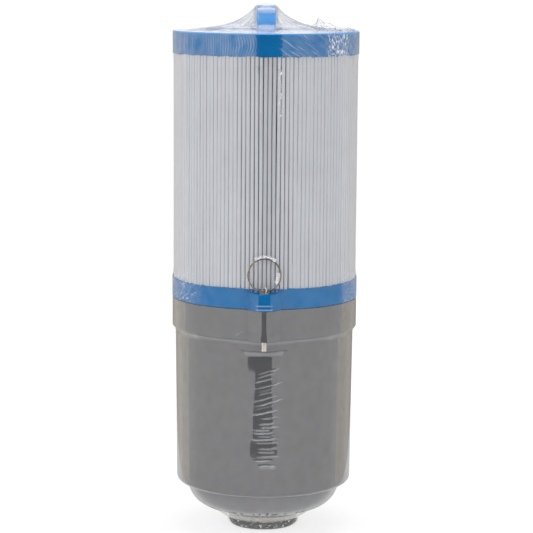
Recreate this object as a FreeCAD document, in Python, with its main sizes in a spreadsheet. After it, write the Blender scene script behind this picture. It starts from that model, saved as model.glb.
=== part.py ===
"""Two-stage spa filter: a pleated cartridge that plugs into a grey canister with a threaded outlet.

The origin is the centre of the outlet's open end, +Z points up through the handle, and the lock pin
stands at the front, at -Y. Lengths are millimetres.
"""
import FreeCAD, Part
import Sketcher
import math
import os
import re

Vector = FreeCAD.Vector
TINY = 0.01     # lengths and volumes closer than this count as equal
CLEAR = "1"     # how far a tool runs past the face that it cuts

doc = FreeCAD.newDocument("filter")
sheet = doc.addObject("Spreadsheet::Sheet", "dims")

DIMENSIONS = {
    # heights of the faces that stack up along the axis
    "outlet_seat": 13.8,        # underside of the bowl
    "shell_floor": 31.7,        # underside of the canister
    "collar_bottom": 140.3,
    "collar_top": 161.0,
    "lower_cap_top": 174.1,
    "top_cap_bottom": 328.1,
    "top_cap_top": 342.3,
    "handle_top": 360.0,
    # canister
    "outlet_radius": 23.9,
    "outlet_bore": 19.5,
    "neck_radius": 22.4,        # the outlet's plain end, glued into the bowl's hub
    "relief_height": 3.8,       # plain neck between the thread and the bowl, where the O-ring sits
    "hub_height": 9.0,
    "bowl_radius": 52.5,
    "bowl_curve": 17.6,
    "wall": 3.0,
    "shell_radius_low": 60.1,
    "shell_radius_high": 61.2,
    "shell_edge": 3.7,
    "collar_radius": 63.3,
    "collar_lip": 1.4,
    "rim_depth": 10.0,          # how far the shell's rim stands up inside the collar
    "deck_thickness": 5.0,
    "spigot_radius": 20.0,
    "spigot_bore": 16.6,
    "spigot_rise": 25.0,        # how far the spigot stands above the collar
    "groove_drop": 9.0,         # from the spigot's top to the O-ring groove's lower side
    "groove_width": 3.0,
    "groove_depth": 2.0,
    "spigot_seal": 1.1,         # radius of the O-ring's section
    "outlet_seal": 1.7,
    "seal_gap": 0.02,
    "screen_thickness": 1.6,
    "screen_hole": 1.6,
    "screen_pitch": 7.2,
    "screen_rings": 7,
    "screen_rows": 20,
    "screen_gap": 0.4,
    "media_gap": 0.2,
    "grid_height": 6.0,
    "grid_bar": 3.0,
    "grid_spokes": 8,
    # cartridge
    "top_cap_radius": 63.2,
    "lower_cap_radius": 63.4,
    "pleat_radius": 62.6,
    "pleat_root": 29.0,
    "pleat_sheet": 0.45,
    "pleat_count": 135,
    "pleat_fold": 0.85,         # half the width of a pleat's outer fold
    "pleat_gap": 0.1,           # half the gap between two pleats at their roots
    "core_radius": 28.0,
    "core_wall": 2.4,
    "slot_width": 8.0,
    "slot_height": 9.0,
    "slot_pitch": 15.6,
    "slot_margin": 8.0,
    "slot_rows": 9,
    "slot_columns": 9,
    "flange_height": 2.0,
    "sleeve_rise": 6.0,         # how far the sleeve stands above the spigot
    "slide_gap": 0.3,           # spigot to sleeve, all round
    "handle_width": 12.6,
    "handle_strap": 3.6,
    "handle_span": 88.0,
    "handle_bend": 12.0,
    "handle_edge": 1.05,
    "socket_depth": 5.0,
    "rim_height": 1.0,
    # lug, pin and ring
    "lug_reach": 71.3,
    "lug_face": 8.6,
    "lower_lug_face": 5.6,
    "lower_lug_edge": 5.2,      # rounding of the collar's lug
    "lug_root": 22.0,
    "lug_step": 1.5,            # how far the cap's lug lies below its rim
    "notch_width": 25.0,        # where the cap's rim is cut down behind the lug
    "notch_depth": 1.6,
    "lug_overlap": 1.2,         # how far a lug's root reaches back inside its rim
    "pin_offset": 67.2,
    "pin_radius": 1.7,
    "pin_gap": 0.05,
    "pin_low": 134.0,
    "washer_radius": 3.2,
    "washer_height": 0.4,
    "eye_height": 174.6,
    "eye_radius": 2.0,
    "eye_wire": 0.45,
    "eye_turn": 40.0,           # degrees from the X axis to the eye's own axis
    "ring_radius": 10.8,
    "ring_wire": 0.55,
    "ring_lean": 8.0,           # degrees back from upright
    "ring_drop": 0.9,           # ring wire below the middle of the eye
    # film
    "film": 0.25,
    "film_gap": 0.1,
    "film_hem": 0.8,            # from a cap's or collar's corner to the film's edge
    "film_bridge": 4.0,         # how far from a step the film leaves the face beside it
    "film_bowl_start": 22.5,    # degrees along the bowl's curve, from straight down
    "film_bowl_end": 85.0,
    "film_edge_start": 15.0,
}

for row, (alias, number) in enumerate(DIMENSIONS.items(), start=1):
    sheet.set(f"A{row}", alias)
    sheet.set(f"B{row}", str(number))
    sheet.setAlias(f"B{row}", alias)
doc.recompute()


def size(alias):
    """The number that the sheet holds under an alias."""
    return float(sheet.get(alias))


def bound(text):
    """An expression with each alias written as the sheet's own cell."""
    return re.sub(r"[a-z]+(?:_[a-z]+)*", lambda word: "dims." + word.group(0), text)


def number(text):
    """What an expression comes to, used to draw a sketch at its final shape."""
    return float(sheet.evalExpression(bound(text)))


# --- sketches and bodies -------------------------------------------------------------------------

def new_body(label):
    body = doc.addObject("PartDesign::Body", label)
    body.Label = label
    return body


def plane_of(body, role):
    for feature in body.Origin.OriginFeatures:
        if feature.Role == role:
            return feature
    raise ValueError(role)


def new_sketch(body, name, role, height=None):
    """A sketch on one of the body's own planes, lifted along its normal to a bound height."""
    sketch = body.newObject("Sketcher::SketchObject", f"{body.Label}_{name}")
    sketch.AttachmentSupport = (plane_of(body, role), [""])
    sketch.MapMode = "FlatFace"
    if height is not None:
        sketch.setExpression("AttachmentOffset.Base.z", bound(height))
    return sketch


def place_point(sketch, line, end, corner):
    """Binds the x and y of one end of a line to two expressions."""
    for kind, text in zip(("DistanceX", "DistanceY"), corner):
        if text == "0":
            # a point on an axis: -1 and -2 are the sketch's own X and Y axes
            axis = -2 if kind == "DistanceX" else -1
            sketch.addConstraint(Sketcher.Constraint("PointOnObject", line, end, axis))
            continue
        index = sketch.addConstraint(Sketcher.Constraint(kind, -1, 1, line, end, 1.0))
        sketch.setExpression(f"Constraints[{index}]", bound(text))


def add_outline(sketch, corners):
    """A closed outline through corners, each given as two expressions of sums and products."""
    points = [Vector(number(x), number(y), 0) for x, y in corners]
    first = len(sketch.Geometry)
    count = len(points)
    for i in range(count):
        sketch.addGeometry(Part.LineSegment(points[i], points[(i + 1) % count]), False)
    for i in range(count):
        follow = first + (i + 1) % count
        sketch.addConstraint(Sketcher.Constraint("Coincident", first + i, 2, follow, 1))
    for i, corner in enumerate(corners):
        place_point(sketch, first + i, 1, corner)


def add_circle(sketch, x, y, radius):
    centre = Vector(number(x), number(y), 0)
    index = sketch.addGeometry(Part.Circle(centre, Vector(0, 0, 1), number(radius)), False)
    constraint = sketch.addConstraint(Sketcher.Constraint("Radius", index, number(radius)))
    sketch.setExpression(f"Constraints[{constraint}]", bound(radius))
    place_point(sketch, index, 3, (x, y))


def revolve(body, name, corners):
    """Turns an outline of radius and height about Z."""
    sketch = new_sketch(body, f"{name}_sketch", "XZ_Plane")
    add_outline(sketch, corners)
    feature = body.newObject("PartDesign::Revolution", f"{body.Label}_{name}")
    feature.Profile = sketch
    feature.ReferenceAxis = (sketch, ["V_Axis"])
    feature.Angle = 360
    doc.recompute()
    return feature


def pad(body, name, corners, low, length):
    """Raises an outline in X and Y from a bound height."""
    sketch = new_sketch(body, f"{name}_sketch", "XY_Plane", low)
    add_outline(sketch, corners)
    feature = body.newObject("PartDesign::Pad", f"{body.Label}_{name}")
    feature.Profile = sketch
    feature.setExpression("Length", bound(length))
    doc.recompute()
    return feature


def pocket(body, name, sketch, length, reverse=False, both=False):
    """Cuts a sketch away and makes sure that it did cut."""
    doc.recompute()
    before = body.Shape.Volume
    feature = body.newObject("PartDesign::Pocket", f"{body.Label}_{name}")
    feature.Profile = sketch
    feature.Reversed = reverse
    feature.Midplane = both
    feature.setExpression("Length", bound(length))
    doc.recompute()
    if not body.Shape.Volume < before - TINY:
        raise RuntimeError(f"{body.Label}: {name} cuts nothing")
    return feature


def around(body, name, feature, copies):
    """Repeats a feature about Z."""
    before = body.Shape.Volume
    pattern = body.newObject("PartDesign::PolarPattern", f"{body.Label}_{name}")
    pattern.Originals = [feature]
    pattern.Axis = (plane_of(body, "Z_Axis"), [""])
    pattern.Angle = 360
    pattern.Occurrences = copies
    body.Tip = pattern
    doc.recompute()
    if abs(body.Shape.Volume - before) < TINY:
        raise RuntimeError(f"{body.Label}: {name} repeats nothing")
    return pattern


def round_edges(body, name, radius, wanted):
    """Fillets the edges of the body's last feature for which wanted(edge) holds."""
    last = body.Tip
    names = [f"Edge{i}" for i, edge in enumerate(last.Shape.Edges, 1) if wanted(edge)]
    if not names:
        raise RuntimeError(f"{body.Label}: {name} finds no edge")
    fillet = body.newObject("PartDesign::Fillet", f"{body.Label}_{name}")
    fillet.Base = (last, names)
    fillet.setExpression("Radius", bound(radius))
    doc.recompute()
    return fillet


def circle_at(radius, height):
    """A test for a circular edge about Z of this radius at this height."""
    def wanted(edge):
        curve = edge.Curve
        if not isinstance(curve, Part.Circle):
            return False
        on_axis = math.hypot(curve.Center.x, curve.Center.y) < TINY
        same = abs(curve.Radius - radius) < TINY and abs(curve.Center.z - height) < TINY
        return on_axis and same
    return wanted


# --- primitives and booleans ---------------------------------------------------------------------

def cylinder(name, radius, low, height, y=None):
    solid = doc.addObject("Part::Cylinder", name)
    solid.setExpression("Radius", bound(radius))
    solid.setExpression("Height", bound(height))
    solid.setExpression("Placement.Base.z", bound(low))
    if y is not None:
        solid.setExpression("Placement.Base.y", bound(y))
    return solid


def torus(name, ring, wire, height=None):
    solid = doc.addObject("Part::Torus", name)
    solid.setExpression("Radius1", bound(ring))
    solid.setExpression("Radius2", bound(wire))
    if height is not None:
        solid.setExpression("Placement.Base.z", bound(height))
    return solid


def cut(label, base, tool):
    result = doc.addObject("Part::Cut", label)
    result.Base = base
    result.Tool = tool
    result.Label = label
    return result


def fuse(label, *shapes):
    result = doc.addObject("Part::MultiFuse", label)
    result.Shapes = list(shapes)
    result.Label = label
    return result


def tube(label, outer, inner, low, height):
    """A plain tube about Z."""
    body = cylinder(f"{label}_outside", outer, low, height)
    bore = cylinder(f"{label}_bore", inner, f"{low} - {CLEAR}", f"{height} + 2*{CLEAR}")
    return cut(label, body, bore)


# --- canister ------------------------------------------------------------------------------------

def make_threaded_outlet():
    """The outlet's pipe. Its outside is the thread's crest, and above the thread a plain neck carries the
    O-ring and is glued into the bowl's hub."""
    body = new_body("threaded_outlet")
    revolve(body, "pipe", [
        ("outlet_bore", "0"),
        ("outlet_radius", "0"),
        ("outlet_radius", "outlet_seat - relief_height"),
        ("neck_radius", "outlet_seat - relief_height"),
        ("neck_radius", "outlet_seat + hub_height"),
        ("outlet_bore", "outlet_seat + hub_height"),
    ])
    round_edges(body, "lead_in", "wall*0.2", circle_at(size("outlet_radius"), 0.0))
    return body


def make_reducer_bowl():
    """A round-bottomed bowl with a hub that holds the outlet."""
    body = new_body("reducer_bowl")
    inside = "bowl_radius - wall"
    revolve(body, "bowl", [
        ("neck_radius", "outlet_seat"),
        ("bowl_radius", "outlet_seat"),
        ("bowl_radius", "shell_floor"),
        (inside, "shell_floor"),
        (inside, "outlet_seat + wall"),
        ("neck_radius + wall", "outlet_seat + wall"),
        ("neck_radius + wall", "outlet_seat + hub_height"),
        ("neck_radius", "outlet_seat + hub_height"),
    ])
    inner_edge = circle_at(size("bowl_radius") - size("wall"), size("outlet_seat") + size("wall"))
    round_edges(body, "inner_curve", "bowl_curve - wall", inner_edge)
    outer_edge = circle_at(size("bowl_radius"), size("outlet_seat"))
    round_edges(body, "outer_curve", "bowl_curve", outer_edge)
    return body


def make_canister_shell():
    """The slightly tapered cup. The bowl hangs under its open floor."""
    body = new_body("canister_shell")
    revolve(body, "cup", [
        ("bowl_radius - wall", "shell_floor"),
        ("shell_radius_low", "shell_floor"),
        ("shell_radius_high", "collar_bottom + rim_depth"),
        ("shell_radius_high - wall", "collar_bottom + rim_depth"),
        ("shell_radius_low - wall", "shell_floor + wall"),
        ("bowl_radius - wall", "shell_floor + wall"),
    ])
    edge = circle_at(size("shell_radius_low"), size("shell_floor"))
    round_edges(body, "bottom_edge", "shell_edge", edge)
    return body


def add_lug(body, rim, face, low, height):
    """The lug at the front: a flat-faced block that flares back into the rim."""
    root = f"-{rim} + lug_overlap"
    pad(body, "lug", [
        ("-lug_root*0.5", root),
        (f"-{face}*0.5", "-lug_reach"),
        (f"{face}*0.5", "-lug_reach"),
        ("lug_root*0.5", root),
    ], low, height)


def drill_pin_hole(body, low, high):
    sketch = new_sketch(body, "pin_hole_sketch", "XY_Plane", f"{low} - {CLEAR}")
    add_circle(sketch, "0", "-pin_offset", "pin_radius + pin_gap")
    pocket(body, "pin_hole", sketch, f"{high} - {low} + 2*{CLEAR}", reverse=True)


def make_canister_collar():
    """The ring that the shell's rim is glued into, with the lower lug."""
    body = new_body("canister_collar")
    inside = "shell_radius_high - wall"
    revolve(body, "ring", [
        ("shell_radius_high + pin_gap", "collar_bottom"),
        ("collar_radius", "collar_bottom"),
        ("collar_radius", "collar_top"),
        (inside, "collar_top"),
        (inside, "collar_bottom + rim_depth"),
        ("shell_radius_high + pin_gap", "collar_bottom + rim_depth"),
    ])
    edge = circle_at(size("collar_radius"), size("collar_bottom"))
    round_edges(body, "lip", "collar_lip", edge)
    add_lug(body, "collar_radius", "lower_lug_face", "collar_bottom", "collar_top - collar_bottom")

    def front_edge(edge):
        ends = [v.Point for v in edge.Vertexes]
        upright = len(ends) == 2 and abs(ends[0].z - ends[1].z) > TINY
        return upright and all(abs(p.y + size("lug_reach")) < TINY and
                               abs(abs(p.x) - size("lower_lug_face") / 2) < TINY for p in ends)

    round_edges(body, "lug_edges", "lower_lug_edge", front_edge)
    drill_pin_hole(body, "collar_bottom", "collar_top")
    return body


def make_deck_plate():
    """The plate inside the collar that closes the canister round the spigot."""
    return tube("deck_plate", "shell_radius_high - wall", "spigot_radius",
                "collar_top - deck_thickness", "deck_thickness")


def make_spigot_tube():
    """The tube through the deck, with a groove for the O-ring near its top."""
    body = new_body("spigot_tube")
    groove = "spigot_radius - groove_depth"
    groove_low = "collar_top + spigot_rise - groove_drop"
    revolve(body, "tube", [
        ("spigot_bore", "collar_top - deck_thickness"),
        ("spigot_radius", "collar_top - deck_thickness"),
        ("spigot_radius", groove_low),
        (groove, groove_low),
        (groove, f"{groove_low} + groove_width"),
        ("spigot_radius", f"{groove_low} + groove_width"),
        ("spigot_radius", "collar_top + spigot_rise"),
        ("spigot_bore", "collar_top + spigot_rise"),
    ])
    edge = circle_at(size("spigot_radius"), size("collar_top") + size("spigot_rise"))
    round_edges(body, "lead_in", "wall*0.4", edge)
    return body


def make_spigot_o_ring():
    ring = torus("spigot_o_ring", "spigot_radius - groove_depth + spigot_seal + seal_gap", "spigot_seal",
                 "collar_top + spigot_rise - groove_drop + groove_width*0.5")
    ring.Label = "spigot_o_ring"
    return ring


def make_outlet_o_ring():
    """The seal round the outlet's neck, between its thread and the bowl."""
    ring = torus("outlet_o_ring", "neck_radius + outlet_seal + seal_gap", "outlet_seal",
                 "outlet_seat - outlet_seal - seal_gap")
    ring.Label = "outlet_o_ring"
    return ring


def make_screen(label, low):
    """A thin disc with rings of small holes, which keeps the media in."""
    body = new_body(label)
    edge = "shell_radius_low - wall - screen_gap"
    revolve(body, "disc", [
        ("0", low),
        (edge, low),
        (edge, f"{low} + screen_thickness"),
        ("0", f"{low} + screen_thickness"),
    ])
    sketch = new_sketch(body, "hole_sketch", "XY_Plane", f"{low} - {CLEAR}")
    for ring in range(2, int(size("screen_rings")) + 1):
        add_circle(sketch, f"{ring}*screen_pitch", "0", "screen_hole")
    row = pocket(body, "hole_row", sketch, f"screen_thickness + 2*{CLEAR}", reverse=True)
    around(body, "hole_rings", row, int(size("screen_rows")))
    return body


INLET_SCREEN_LOW = "collar_bottom - 2*screen_thickness"
OUTLET_SCREEN_LOW = "shell_floor + wall + grid_height + media_gap"


def make_media_bed():
    """The granules, as one solid between the two screens."""
    low = f"{OUTLET_SCREEN_LOW} + screen_thickness + media_gap"
    bed = cylinder("media_bed", "shell_radius_low - wall - screen_gap", low,
                   f"{INLET_SCREEN_LOW} - ({low}) - media_gap")
    bed.Label = "media_bed"
    return bed


def make_screen_grid():
    """A rim, a hub and spokes that hold the outlet screen off the floor."""
    body = new_body("screen_grid")
    low = "shell_floor + wall"
    outside = "shell_radius_low - wall - 2*screen_gap"
    revolve(body, "rim", [
        (f"{outside} - grid_bar", low),
        (outside, low),
        (outside, f"{low} + grid_height"),
        (f"{outside} - grid_bar", f"{low} + grid_height"),
    ])
    spoke = pad(body, "spoke", [
        ("0", "-grid_bar*0.5"),
        (f"{outside} - grid_bar*0.5", "-grid_bar*0.5"),
        (f"{outside} - grid_bar*0.5", "grid_bar*0.5"),
        ("0", "grid_bar*0.5"),
    ], low, "grid_height")
    around(body, "spokes", spoke, int(size("grid_spokes")))
    return body


# --- cartridge -----------------------------------------------------------------------------------

def make_lower_end_cap():
    """The cast cap under the pleats, bored for the sleeve, with the upper lug."""
    body = new_body("lower_end_cap")
    revolve(body, "disc", [
        ("spigot_radius + slide_gap + wall", "collar_top"),
        ("lower_cap_radius", "collar_top"),
        ("lower_cap_radius", "lower_cap_top"),
        ("spigot_radius + slide_gap + wall", "lower_cap_top"),
    ])
    edge = circle_at(size("lower_cap_radius"), size("collar_top"))
    round_edges(body, "lip", "collar_lip*0.5", edge)
    add_lug(body, "lower_cap_radius", "lug_face", "collar_top", "lower_cap_top - collar_top - lug_step")
    notch = new_sketch(body, "notch_sketch", "XY_Plane", "lower_cap_top")
    add_outline(notch, [
        ("-notch_width*0.5", "-lug_reach"),
        ("notch_width*0.5", "-lug_reach"),
        ("notch_width*0.5", "-lower_cap_radius + notch_depth"),
        ("-notch_width*0.5", "-lower_cap_radius + notch_depth"),
    ])
    pocket(body, "notch", notch, "lug_step")
    drill_pin_hole(body, "collar_top", "lower_cap_top")
    return body


def make_outlet_sleeve():
    """The tube bonded in the lower cap, with a flange under the core tube."""
    body = new_body("outlet_sleeve")
    inside = "spigot_radius + slide_gap"
    revolve(body, "sleeve", [
        (inside, "collar_top"),
        (f"{inside} + wall", "collar_top"),
        (f"{inside} + wall", "lower_cap_top"),
        ("core_radius", "lower_cap_top"),
        ("core_radius", "lower_cap_top + flange_height"),
        (f"{inside} + wall", "lower_cap_top + flange_height"),
        (f"{inside} + wall", "collar_top + spigot_rise + sleeve_rise"),
        (inside, "collar_top + spigot_rise + sleeve_rise"),
    ])
    return body


def make_core_tube():
    """The perforated tube that holds the pleats open against the suction."""
    body = new_body("core_tube")
    low, high = "lower_cap_top + flange_height", "top_cap_bottom"
    revolve(body, "tube", [
        ("core_radius - core_wall", low),
        ("core_radius", low),
        ("core_radius", high),
        ("core_radius - core_wall", high),
    ])
    sketch = new_sketch(body, "slot_sketch", "XZ_Plane")
    half = "slot_width*0.5"
    for row in range(int(size("slot_rows"))):
        foot = f"{low} + slot_margin + {row}*slot_pitch"
        add_outline(sketch, [
            (f"-{half}", foot),
            (half, foot),
            (half, f"{foot} + slot_height"),
            (f"-{half}", f"{foot} + slot_height"),
        ])
    column = pocket(body, "slot_column", sketch, f"core_radius + {CLEAR}", reverse=True)
    around(body, "slot_columns", column, int(size("slot_columns")))
    return body


def make_pleated_media():
    """One sheet folded into pleats: an outer and an inner zigzag, raised between the end caps."""
    count = int(size("pleat_count"))
    tip, root, sheet_thickness = size("pleat_radius"), size("pleat_root"), size("pleat_sheet")
    low, high = size("lower_cap_top"), size("top_cap_bottom")
    pitch = 2 * math.pi / count
    tip_half = size("pleat_fold") / tip
    gap_half = size("pleat_gap") / root

    def zigzag(tip_radius, tip_angle, root_radius, root_angle):
        points = []
        for k in range(count):
            middle = -math.pi / 2 + k * pitch
            turns = (
                (tip_radius, middle - tip_angle),
                (tip_radius, middle + tip_angle),
                (root_radius, middle + pitch / 2 - root_angle),
                (root_radius, middle + pitch / 2 + root_angle),
            )
            for radius, angle in turns:
                points.append(Vector(radius * math.cos(angle), radius * math.sin(angle), low))
        points.append(points[0])
        return Part.makePolygon(points)

    outside = zigzag(tip, tip_half, root + sheet_thickness, gap_half)
    inside = zigzag(tip - sheet_thickness, tip_half - sheet_thickness / tip,
                    root, gap_half + sheet_thickness / root)
    face = Part.Face(outside).cut(Part.Face(inside)).Faces[0]
    media = doc.addObject("Part::Feature", "pleated_media")
    media.Shape = face.extrude(Vector(0, 0, high - low))
    media.Label = "pleated_media"
    return media


def make_top_end_cap():
    """The closed cap over the pleats: a raised rim and two sockets for the handle's feet."""
    body = new_body("top_end_cap")
    revolve(body, "disc", [
        ("0", "top_cap_bottom"),
        ("top_cap_radius", "top_cap_bottom"),
        ("top_cap_radius", "top_cap_top"),
        ("top_cap_radius - wall", "top_cap_top"),
        ("top_cap_radius - wall", "top_cap_top - rim_height"),
        ("0", "top_cap_top - rim_height"),
    ])
    edge = circle_at(size("top_cap_radius"), size("top_cap_top"))
    round_edges(body, "rim", "collar_lip*0.5", edge)
    sketch = new_sketch(body, "socket_sketch", "XY_Plane", "top_cap_top")
    across = "(handle_width*0.5 + pin_gap)"
    for side in ("", "-"):
        near = f"{side}(handle_span*0.5 - handle_strap)"
        far = f"{side}handle_span*0.5"
        add_outline(sketch, [
            (f"-{across}", near),
            (across, near),
            (across, far),
            (f"-{across}", far),
        ])
    pocket(body, "sockets", sketch, "socket_depth")
    return body


def make_lift_handle():
    """A flat strap bent into an arch that runs front to back, its feet in the cap's sockets."""
    body = new_body("lift_handle")
    half, inner = "handle_span*0.5", "(handle_span*0.5 - handle_strap)"
    foot = "top_cap_top - socket_depth"
    sketch = new_sketch(body, "arch_sketch", "YZ_Plane")
    add_outline(sketch, [
        (f"-{half}", foot),
        (f"-{half}", "handle_top"),
        (half, "handle_top"),
        (half, foot),
        (inner, foot),
        (inner, "handle_top - handle_strap"),
        (f"-{inner}", "handle_top - handle_strap"),
        (f"-{inner}", foot),
    ])
    strap = body.newObject("PartDesign::Pad", "lift_handle_strap")
    strap.Profile = sketch
    strap.Midplane = True
    strap.setExpression("Length", bound("handle_width"))
    doc.recompute()

    def across_at(y, height):
        def wanted(edge):
            ends = [v.Point for v in edge.Vertexes]
            flat = all(abs(abs(p.y) - y) < TINY and abs(p.z - height) < TINY for p in ends)
            return flat and len(ends) == 2 and abs(ends[0].x - ends[1].x) > TINY
        return wanted

    top, half_span = size("handle_top"), size("handle_span") / 2
    strap_size = size("handle_strap")
    round_edges(body, "outer_bends", "handle_bend", across_at(half_span, top))
    inner_bends = across_at(half_span - strap_size, top - strap_size)
    round_edges(body, "inner_bends", "handle_bend - handle_strap", inner_bends)

    def outer_long_edge(edge):
        middle = edge.valueAt((edge.FirstParameter + edge.LastParameter) / 2)
        runs_along = abs(edge.Vertexes[0].Point.x - edge.Vertexes[-1].Point.x) < TINY
        on_side = abs(abs(middle.x) - size("handle_width") / 2) < TINY
        corner = math.hypot(max(0.0, abs(middle.y) - half_span + size("handle_bend")),
                            max(0.0, middle.z - top + size("handle_bend")))
        outside = abs(corner - size("handle_bend")) < TINY and middle.z > size("top_cap_top")
        return runs_along and on_side and outside

    round_edges(body, "soft_edges", "handle_edge", outer_long_edge)
    return body


# --- pin and ring --------------------------------------------------------------------------------

def make_lock_pin():
    """A straight rod with a wire eye on top. Its tip comes out under the collar's lug."""
    rod = cylinder("lock_pin_rod", "pin_radius", "pin_low",
                   "eye_height - eye_radius + eye_wire*0.8 - pin_low", "-pin_offset")
    eye = torus("lock_pin_eye", "eye_radius", "eye_wire", "eye_height")
    eye.setExpression("Placement.Base.y", bound("-pin_offset"))
    eye.Placement.Rotation = FreeCAD.Rotation(Vector(0, 0, 1), size("eye_turn")).multiply(
        FreeCAD.Rotation(Vector(0, 1, 0), 90))
    return fuse("lock_pin", rod, eye)


def make_pin_washer():
    """The washer that stops the pin's eye on top of the lug."""
    low = "lower_cap_top - lug_step"
    outside = cylinder("pin_washer_outside", "washer_radius", low, "washer_height", "-pin_offset")
    hole = cylinder("pin_washer_hole", "pin_radius", f"{low} - {CLEAR}",
                    f"washer_height + 2*{CLEAR}", "-pin_offset")
    return cut("pin_washer", outside, hole)


def make_pull_ring():
    """A wire ring through the pin's eye, leaning back against the pleats."""
    ring = torus("pull_ring", "ring_radius", "ring_wire")
    ring.Label = "pull_ring"
    lean = math.radians(size("ring_lean"))
    foot = Vector(0, -size("pin_offset"), size("eye_height") - size("ring_drop"))
    up = Vector(0, math.sin(lean), math.cos(lean))
    turn = FreeCAD.Rotation(Vector(1, 0, 0), 90 - size("ring_lean"))
    ring.Placement = FreeCAD.Placement(foot + up * size("ring_radius"), turn)
    return ring


# --- shrink film ---------------------------------------------------------------------------------

def at(radius, height):
    """A point of a profile that is turned about Z."""
    return Vector(radius, 0, height)


def arc(centre, radius, low, high):
    """A rounded edge's arc between two angles in degrees, where 0 is straight down and 90 straight out."""
    turns = [math.radians(angle) for angle in (low, (low + high) / 2, high)]
    points = [centre + at(radius * math.sin(turn), -radius * math.cos(turn)) for turn in turns]
    return Part.Arc(*points).toShape()


def profile(*runs):
    """The edges of an open line. Each run is a point or an arc, with straight edges between them."""
    edges, end = [], None
    for run in runs:
        start = run if isinstance(run, Vector) else run.Vertexes[0].Point
        if end is not None:
            edges.append(Part.LineSegment(end, start).toShape())
        if isinstance(run, Vector):
            end = run
        else:
            edges.append(run)
            end = run.Vertexes[-1].Point
    return edges


def film_band(outline):
    """A skin turned about Z, between the outline at the film's inner side and at its outer side."""
    inner = outline(size("film_gap"))
    outer = outline(size("film_gap") + size("film"))
    ends = []
    for index in (0, -1):
        tips = (inner[index].Vertexes[index].Point, outer[index].Vertexes[index].Point)
        ends.append(Part.LineSegment(*tips).toShape())
    wire = Part.Wire(Part.__sortEdges__(inner + outer + ends))
    return Part.Face(wire).revolve(Vector(0, 0, 0), Vector(0, 0, 1), 360)


def lug_prism(rim, grow, low, high):
    """The lug's plan grown by a margin, between two heights, reaching back inside the rim."""
    slope = (size("lug_root") - size("lug_face")) / 2 / (size("lug_reach") - rim)
    face = size("lug_face") / 2 + grow * slope
    root = size("lug_root") / 2 + grow * slope
    front, foot = -size("lug_reach") - grow, -rim + size("lug_overlap")
    back = foot + size("wall") * 2
    corners = [(-root, foot), (-face, front), (face, front), (root, foot), (root, back), (-root, back)]
    plan = [Vector(x, y, low) for x, y in corners]
    face_shape = Part.Face(Part.makePolygon(plan + plan[:1]))
    return face_shape.extrude(Vector(0, 0, high - low))


def make_film(label, outline, rim, low, high):
    """A film band with the film's wall round a lug between two heights."""
    gap, thick, clear = size("film_gap"), size("film"), float(CLEAR)
    outer = lug_prism(rim, gap + thick, low, high)
    inner = lug_prism(rim, gap, low, high)
    disc = Part.makeCylinder(rim + gap, high - low + 2 * clear, Vector(0, 0, low - clear))
    wall = outer.cut(inner).cut(disc)
    slot = lug_prism(rim, gap, low - 2 * clear, high + clear)
    film = doc.addObject("Part::Feature", label)
    film.Shape = film_band(outline).cut(slot).fuse(wall).removeSplitter()
    film.Label = label
    return film


def make_shrink_film_lower():
    """The film on the canister. It bridges the steps under the shell and under the collar."""
    seat, floor, hem = size("outlet_seat"), size("shell_floor"), size("film_hem")
    curve, edge = size("bowl_curve"), size("shell_edge")
    bowl_centre = at(size("bowl_radius") - curve, seat + curve)
    edge_centre = at(size("shell_radius_low") - edge, floor + edge)
    collar_low, collar_high = size("collar_bottom"), size("collar_top") - hem
    lip = collar_low + size("collar_lip")

    def outline(off):
        return profile(
            arc(bowl_centre, curve + off, size("film_bowl_start"), size("film_bowl_end")),
            arc(edge_centre, edge + off, size("film_edge_start"), 90),
            at(size("shell_radius_high") + off, collar_low - size("film_bridge")),
            at(size("collar_radius") + off, lip),
            at(size("collar_radius") + off, collar_high),
        )
    return make_film("shrink_film_lower", outline, size("collar_radius"), lip, collar_high)


def make_shrink_film_upper():
    """The film on the cartridge: both caps and the pleats between them."""
    hem, step = size("film_hem"), size("pleat_sheet")
    rim, tips, top_rim = size("lower_cap_radius"), size("pleat_radius"), size("top_cap_radius")
    low, lower_top = size("collar_top") + hem, size("lower_cap_top")
    top_low, high = size("top_cap_bottom"), size("top_cap_top") - hem
    sink = size("film_bridge")

    def outline(off):
        return profile(
            at(rim + off, low),
            at(rim + off, lower_top),
            at(tips + off, lower_top + sink),
            at(tips + off, top_low - sink),
            at(top_rim + off, top_low),
            at(top_rim + off, high),
        )
    return make_film("shrink_film_upper", outline, rim, low, lower_top - size("lug_step") - step)


# --- build, check and write ----------------------------------------------------------------------

PIECES = [
    make_threaded_outlet(),
    make_reducer_bowl(),
    make_canister_shell(),
    make_canister_collar(),
    make_deck_plate(),
    make_spigot_tube(),
    make_spigot_o_ring(),
    make_outlet_o_ring(),
    make_screen("inlet_screen", INLET_SCREEN_LOW),
    make_screen("outlet_screen", OUTLET_SCREEN_LOW),
    make_media_bed(),
    make_screen_grid(),
    make_lower_end_cap(),
    make_outlet_sleeve(),
    make_core_tube(),
    make_pleated_media(),
    make_top_end_cap(),
    make_lift_handle(),
    make_lock_pin(),
    make_pin_washer(),
    make_pull_ring(),
    make_shrink_film_lower(),
    make_shrink_film_upper(),
]
doc.recompute()

for obj in doc.Objects:
    broken = [state for state in obj.State if state in ("Invalid", "Error")]
    if broken:
        raise RuntimeError(f"{obj.Name} is {broken}")
os.makedirs("parts", exist_ok=True)
for piece in PIECES:
    shape = piece.Shape
    if shape.isNull() or not shape.isValid() or not shape.Solids:
        raise RuntimeError(f"{piece.Label} has no valid solid")
for piece in PIECES:
    piece.Shape.exportStep(f"parts/{piece.Label}.step")
    print(f"{piece.Label}: {len(piece.Shape.Solids)} solid, {piece.Shape.Volume / 1000:.2f} cm3")
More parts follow.
